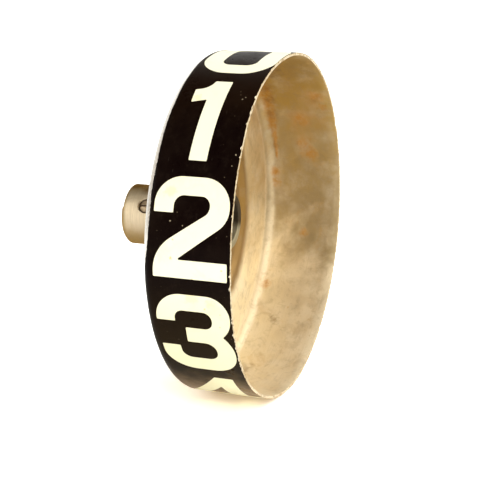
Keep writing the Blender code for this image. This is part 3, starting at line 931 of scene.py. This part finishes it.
# ---------------------------------------------------------------- drum
def make_drum(steel, primer, cut_edge):
    """The drawn cup: band, rounded corner, web, and the dish round the hub."""
    corner = (SHELL_RADIUS - CORNER_RADIUS, CORNER_START)
    rows = [CORNER_START * i / BAND_ROWS for i in range(1, BAND_ROWS)]
    outside = [(SHELL_RADIUS - RIM_BEVEL, 0.0), (SHELL_RADIUS - RIM_SHOULDER, RIM_SHOULDER),
               (SHELL_RADIUS, RIM_BEVEL)]
    outside += [(SHELL_RADIUS, depth) for depth in rows]
    outside += arc_points(corner, CORNER_RADIUS, 0, 90, CORNER_STEPS)
    outer_chain = [
        (corner[0], WEB_OUTER),
        (DISH_RADIUS, WEB_OUTER),
        (DISH_RADIUS - DISH_DEPTH, WEB_OUTER + DISH_DEPTH),
        (HUB_RADIUS, WEB_OUTER + DISH_DEPTH),
    ]
    inner_chain = [(radius, depth - SHEET) for radius, depth in reversed(outer_chain)]
    dish = fillet(outer_chain, BEND)[1:] + fillet(inner_chain, BEND)[:-1]
    inside = arc_points(corner, CORNER_RADIUS - SHEET, 90, 0, CORNER_STEPS)
    inside += [(INNER_RADIUS, depth) for depth in reversed(rows)]
    inside += [(INNER_RADIUS, RIM_BEVEL), (INNER_RADIUS + RIM_SHOULDER, RIM_SHOULDER),
               (INNER_RADIUS + RIM_BEVEL, 0.0)]
    profile = outside + dish + inside
    bare, coated, sheared = range(3)
    slots = [bare] * len(profile)
    slots[2:3 + BAND_ROWS] = [coated] * (1 + BAND_ROWS)
    slots[0] = slots[-2] = slots[-1] = sheared
    mesh = turned("drum_shell", profile, SEGMENTS, on_rim, slots.__getitem__)
    drum = new_piece("drum_shell", mesh, [steel, primer, cut_edge])
    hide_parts("drum")


# ---------------------------------------------------------------- print
def black_edge(angle):
    """Depth at which the black starts behind the rim: a ragged line with a few chips."""
    jitter = 0.00007 * ripple(angle, 60.0, 12.0) + 0.00006 * ripple(angle, 170.0, 5.0)
    random = chips(angle, *SMALL_CHIPS) + chips(angle, *LARGE_CHIPS)
    scuffed = chips(angle, *SCUFFED_CHIPS) * bump_at(angle, *SCUFFED)
    known = sum(reach * bump_at(angle, middle, half_width) for middle, half_width, reach in EDGE_CHIPS)
    return max(BLACK_LEAST_SETBACK, BLACK_SETBACK + jitter) + random + scuffed + known


def black_end(angle):
    """How far the black reaches round the rear corner, in degrees of the corner."""
    least, more = BLACK_WRAP
    wrapped = smoothstep(4.0 * bump_at(angle, *WRAPPED))
    wave = BLACK_WRAP_WAVE * (ripple(angle, 9.0, 17.0) + ripple(angle, 60.0, 3.0))
    return least + more * wrapped + wave


def make_black_ground(black):
    """The black print: a thin film over the band that wraps into the rear corner."""
    corner_radius = SHELL_RADIUS - CORNER_RADIUS
    segments = 2 * SEGMENTS
    flats = 12
    bends = 6
    count = flats + 1 + bends
    edge_taper = 0.4
    underside = FILM * 1.5
    verts = []
    faces = []
    for s in range(segments):
        angle = 360.0 * s / segments
        edge = black_edge(angle)
        end = black_end(angle)
        for sink, lift in ((0.0, FILM), (underside, 0.0)):
            for i in range(flats + 1):
                depth = edge + (CORNER_START - edge) * i / flats
                taper = edge_taper if i == 0 and lift else 1.0
                verts.append(on_rim(SHELL_RADIUS + lift * taper - sink, depth, angle))
            for i in range(1, bends + 1):
                bend = radians(end * i / bends)
                taper = edge_taper if i == bends and lift else 1.0
                radius = CORNER_RADIUS + lift * taper - sink
                verts.append(on_wheel(corner_radius + radius * cos(bend),
                                      CORNER_START + radius * sin(bend), angle))
        here, there = s * 2 * count, (s + 1) % segments * 2 * count
        last = count - 1
        for i in range(last):
            faces.append((here + i, here + i + 1, there + i + 1, there + i))
            faces.append((here + count + i, there + count + i, there + count + i + 1, here + count + i + 1))
        faces.append((here, there, there + count, here + count))
        faces.append((here + last, here + count + last, there + count + last, there + last))
    mesh = bpy.data.meshes.new("black_ground")
    mesh.from_pydata(verts, [], faces)
    face_outward(mesh)
    ground = new_piece("black_ground", mesh, [black])
    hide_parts("number_band")


def rounded_loop(corners, arc_steps):
    """The outline of a polygon whose corners are arcs, as points (across, up) in metres."""
    points = [Vector((across / UNIT * NUMERAL_WIDTH, up / UNIT * NUMERAL_HEIGHT))
              for across, up, _ in corners]
    outline = []
    for i, corner in enumerate(points):
        radius = (corners[i][2] or SHARP_CORNER) * NUMERAL_WIDTH
        before = (points[i - 1] - corner).normalized()
        after = (points[(i + 1) % len(points)] - corner).normalized()
        half_angle = before.angle(after) / 2
        tangent = radius / tan(half_angle)
        centre = corner + (before + after).normalized() * radius / sin(half_angle)
        start = corner + before * tangent - centre
        turn = (corner + after * tangent - centre).angle_signed(start)
        steps = LEAST_ARC_STEPS
        if corners[i][2]:
            steps = max(steps, round(arc_steps * abs(turn) / (pi / 2)))
        for k in range(steps + 1):
            outline.append(centre + Matrix.Rotation(turn * k / steps, 2) @ start)
    return outline


def cut_lines(bm, distances, direction):
    """Cut a flat mesh along lines at distances from the origin, across a direction."""
    normal = Vector(direction)
    for distance in distances:
        bmesh.ops.bisect_plane(bm, geom=bm.verts[:] + bm.edges[:] + bm.faces[:], dist=MERGE_DISTANCE,
                               plane_co=normal * distance, plane_no=normal)


def make_numeral(value, cream):
    """A printed numeral: a thin plate cut into narrow strips and wrapped on the band."""
    name = f"numeral_{value}_print"
    base_angle = NUMERAL_ZERO_BASE + NUMERAL_PITCH * value
    bm = bmesh.new()
    edges = []
    for corners in NUMERALS[value]:
        ring = [bm.verts.new((point.x, point.y, 0)) for point in rounded_loop(corners, NUMERAL_ARC_STEPS)]
        edges += [bm.edges.new((ring[i], ring[(i + 1) % len(ring)])) for i in range(len(ring))]
    bmesh.ops.triangle_fill(bm, use_beauty=True, use_dissolve=False, edges=edges)
    bm.normal_update()
    bmesh.ops.reverse_faces(bm, faces=[face for face in bm.faces if face.normal.z < 0])
    degrees_per_metre = degrees(1.0) / FILM_RADIUS
    strips = int(NUMERAL_HEIGHT * degrees_per_metre / NUMERAL_STRIP)
    cut_lines(bm, [i * NUMERAL_STRIP / degrees_per_metre for i in range(1, strips + 1)], (0, 1, 0))
    cut_lines(bm, [NUMERAL_WIDTH * i / NUMERAL_COLUMNS for i in range(1, NUMERAL_COLUMNS)], (1, 0, 0))
    lifted = bmesh.ops.extrude_face_region(bm, geom=bm.faces[:])
    top = [item for item in lifted["geom"] if isinstance(item, bmesh.types.BMVert)]
    bmesh.ops.translate(bm, vec=(0, 0, NUMERAL_SINK + NUMERAL_RISE), verts=top)
    for vert in bm.verts:
        across, up, height = vert.co
        depth = NUMERAL_RIM_MARGIN + NUMERAL_WIDTH - across
        angle = base_angle - up * degrees_per_metre
        vert.co = on_wheel(FILM_RADIUS - NUMERAL_SINK + height, depth, angle)
    numeral = new_piece(name, mesh_from(name, bm), [cream])
    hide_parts(f"numeral_{value}")


# ---------------------------------------------------------------- hub
def screw_hole_cutter():
    """The tapped hole: a ring of thread crests, opened by a small countersink."""
    bm = bmesh.new()
    rings = []
    for i in range(HOLE_STEPS + 1):
        height = HOLE_BOTTOM + (HOLE_TOP - HOLE_BOTTOM) * i / HOLE_STEPS
        crest = SCREW_RADIUS + HOLE_CLEARANCE + max(0.0, height + HOLE_COUNTERSINK)
        rings.append(ring_of(bm, THREAD_FACETS, height,
                             lambda share: crest + thread_cut(height, share, HOLE_THREAD)))
    loft(bm, rings)
    bm.faces.new(list(reversed(rings[0])))
    bm.faces.new(rings[-1])
    bm.transform(screw_frame(HUB_RADIUS))
    return cutter_object("screw_hole_cutter", bm)


def make_hub(alloy):
    """The turned hub: eased edges, a bored hole, a flange and a stepped outer end."""
    profile = fillet([
        (HUB_BORE_RADIUS, HUB_INNER_END + BORE_INNER_CHAMFER),
        (HUB_BORE_RADIUS + BORE_INNER_CHAMFER, HUB_INNER_END),
        (HUB_RADIUS - HUB_CHAMFER, HUB_INNER_END),
        (HUB_RADIUS, HUB_INNER_END + HUB_CHAMFER),
        (HUB_RADIUS, FLANGE_FRONT),
        (FLANGE_RADIUS, FLANGE_FRONT),
        (FLANGE_RADIUS, FLANGE_BACK),
        (HUB_RADIUS, FLANGE_BACK),
        (HUB_RADIUS, HUB_OUTER_END - HUB_CHAMFER),
        (HUB_RADIUS - HUB_CHAMFER, HUB_OUTER_END),
        (HUB_BORE_RADIUS + BORE_OUTER_CHAMFER, HUB_OUTER_END),
        (HUB_BORE_RADIUS, HUB_OUTER_END - BORE_OUTER_CHAMFER),
    ], HUB_EASE, steps=3)
    mesh = turned("hub_body", profile, HUB_SEGMENTS, around_axis)
    hub = new_piece("hub_body", mesh, [alloy], smooth=HUB_SMOOTH_ANGLE)
    clear = 2 * HUB_RADIUS
    outer_y = RIM_Y + HUB_OUTER_END
    step = box_cutter("end_step_cutter",
                      (-clear, outer_y - END_STEP_DEPTH, END_STEP_HEIGHT),
                      (clear, outer_y + clear, clear))
    apply_cuts(hub, [step, screw_hole_cutter()], HUB_SMOOTH_ANGLE)
    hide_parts("hub")


def make_rivet(index, steel):
    """A rivet with a domed head inside the dish and a hammered tail behind the flange."""
    name = f"hub_rivet_{index + 1}_steel"
    grip = WEB_OUTER - SHEET + DISH_DEPTH
    tail_width, tail_height = RIVET_TAIL
    dome = [radians(90.0 * i / RIVET_DOME_STEPS) for i in range(RIVET_DOME_STEPS + 1)]
    profile = [(RIVET_HEAD_RADIUS * sin(angle), grip - RIVET_HEAD_HEIGHT * cos(angle)) for angle in dome]
    profile += [(RIVET_HEAD_RADIUS * RIVET_SHANK, grip + RIVET_SINK),
                (RIVET_HEAD_RADIUS * RIVET_SHANK, FLANGE_BACK - RIVET_SINK)]
    profile += [(RIVET_HEAD_RADIUS * sin(angle) * tail_width,
                 FLANGE_BACK + RIVET_HEAD_HEIGHT * tail_height * cos(angle)) for angle in reversed(dome)]
    centre = around_axis(RIVET_CIRCLE, 0.0, 90.0 + index * 360.0 / RIVET_COUNT)
    bm = bmesh.new()
    rings = []
    for radius, depth in profile:
        ring = []
        for k in range(RIVET_FACETS):
            turn = 2 * pi * k / RIVET_FACETS
            seed = depth * 900 + index * 7
            dent = 1 + RIVET_DENT * noise.noise(Vector((3 * cos(turn), 3 * sin(turn), seed)))
            place = Vector((radius * dent * cos(turn), depth, radius * dent * sin(turn)))
            ring.append(bm.verts.new(centre + place))
        rings.append(ring)
    loft(bm, rings)
    bmesh.ops.remove_doubles(bm, verts=bm.verts, dist=MERGE_DISTANCE)
    mesh = mesh_from(name, bm)
    face_outward(mesh)
    rivet = new_piece(name, mesh, [steel])
    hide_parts(f"hub_rivet_{index + 1}")


def make_set_screw(steel):
    """The headless screw: a helical thread, a chamfered point and a screwdriver slot."""
    bm = bmesh.new()
    rings = []
    for i in range(SCREW_STEPS + 1):
        height = -SCREW_LENGTH * i / SCREW_STEPS
        from_end = min(-height, SCREW_LENGTH + height)
        chamfer = max(0.0, SCREW_CHAMFER - from_end)
        rings.append(ring_of(bm, THREAD_FACETS, height,
                             lambda share: SCREW_RADIUS - thread_cut(height, share, SCREW_THREAD) - chamfer))
    loft(bm, rings)
    bm.faces.new(rings[0])
    bm.faces.new(list(reversed(rings[-1])))
    bm.transform(screw_frame(HUB_RADIUS - SCREW_RECESS))
    mesh = mesh_from("set_screw_steel", bm)
    face_outward(mesh)
    screw = new_piece("set_screw_steel", mesh, [steel], body="set_screw")
    slot = box_cutter("screw_slot_cutter",
                      (-SCREW_RADIUS * 2, -SCREW_SLOT_WIDTH / 2, -SCREW_SLOT_DEPTH),
                      (SCREW_RADIUS * 2, SCREW_SLOT_WIDTH / 2, SCREW_SLOT_DEPTH))
    slot.data.transform(screw_frame(HUB_RADIUS - SCREW_RECESS))
    apply_cuts(screw, [slot])
    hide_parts("set_screw")


# ---------------------------------------------------------------- studio
# The camera's place is in wheel radii from the middle of the free rim.
CAMERA_LENS = 100.6
CAMERA_SENSOR = 36.0
CAMERA_CLIP_START = 0.01
CAMERA_PLACE = (-7.184, -2.408, 1.796)
CAMERA_LOOK = (0.90774, 0.34381, -0.24041)
FLOOR_REACH = 6.0
# Each lamp's place, target, width, power and colour.
LAMPS = {
    "key": ((-0.72, -0.62, 0.42), (0, 0, 0), 0.45, 9.0, (1.0, 0.99, 0.96)),
    "back": ((-0.42, 0.52, 0.30), (0, 0.02, 0), 0.25, 1.4, (1.0, 0.97, 0.90)),
    "overhead": ((0.45, -0.75, 0.90), (0, 0, 0), 1.1, 17.0, (0.95, 0.98, 1.0)),
}


def add_object(name, data):
    added = bpy.data.objects.new(name, data)
    bpy.context.scene.collection.objects.link(added)
    return added


def facing(direction):
    """The rotation of a camera or lamp that points along a direction."""
    return direction.to_track_quat('-Z', 'Y').to_euler()


def make_camera():
    """The camera stands off the band, turned towards the open end."""
    data = bpy.data.cameras.new("camera")
    data.lens = CAMERA_LENS
    data.sensor_width = CAMERA_SENSOR
    data.clip_start = CAMERA_CLIP_START
    camera = add_object("camera", data)
    camera.location = Vector(CAMERA_PLACE) * FILM_RADIUS + Vector((0, RIM_Y, 0))
    camera.rotation_euler = facing(Vector(CAMERA_LOOK))
    bpy.context.scene.camera = camera


def make_lamp(name, place, target, width, power, colour):
    data = bpy.data.lights.new(name, 'AREA')
    data.shape = 'RECTANGLE'
    data.size = data.size_y = width
    data.energy = power
    data.color = colour
    lamp = add_object(name, data)
    lamp.location = place
    lamp.rotation_euler = facing(Vector(target) - Vector(place))


def make_room():
    """White to the eye; as light it is warm, dim on the -X side and bright behind the wheel."""
    g = Graph(bpy.data.worlds.new("pale_room"), "Background")
    x, _, z = g.split(g.coordinates["Generated"])
    sides = g.mix(g.ramp(x, -0.35, 0.75), ROOM_NEAR_SIDE, ROOM_FAR_SIDE)
    light = g.mix(g.ramp(z, 0.45, 0.85), sides, ROOM_CEILING)
    seen = g.add("ShaderNodeLightPath").outputs["Is Camera Ray"]
    g.set(Color=g.mix(seen, light, ROOM_SEEN))
    return g.owner


def make_studio():
    """A pale floor under the wheel, a white room and three soft lamps."""
    reach = FLOOR_REACH
    level = -(FILM_RADIUS + NUMERAL_RISE)
    mesh = bpy.data.meshes.new("floor")
    corners = [(-reach, -reach, level), (reach, -reach, level), (reach, reach, level), (-reach, reach, level)]
    mesh.from_pydata(corners, [], [(0, 1, 2, 3)])
    mesh.materials.append(floor_material())
    ground = add_object("floor", mesh)
    bpy.context.scene.world = make_room()
    for name, settings in LAMPS.items():
        make_lamp(name, *settings)
    bpy.context.scene.view_settings.view_transform = 'Standard'
    bpy.context.scene.view_settings.look = 'None'


# ---------------------------------------------------------------- build
black = black_material()
cream = cream_material()
dark_steel = dark_steel_material()

make_drum(steel_material(), primer_material(), cut_edge_material())
make_black_ground(black)
for value in sorted(NUMERALS):
    make_numeral(value, cream)
make_hub(alloy_material())
for index in range(RIVET_COUNT):
    make_rivet(index, dark_steel)
make_set_screw(dark_steel)
make_studio()
make_camera()
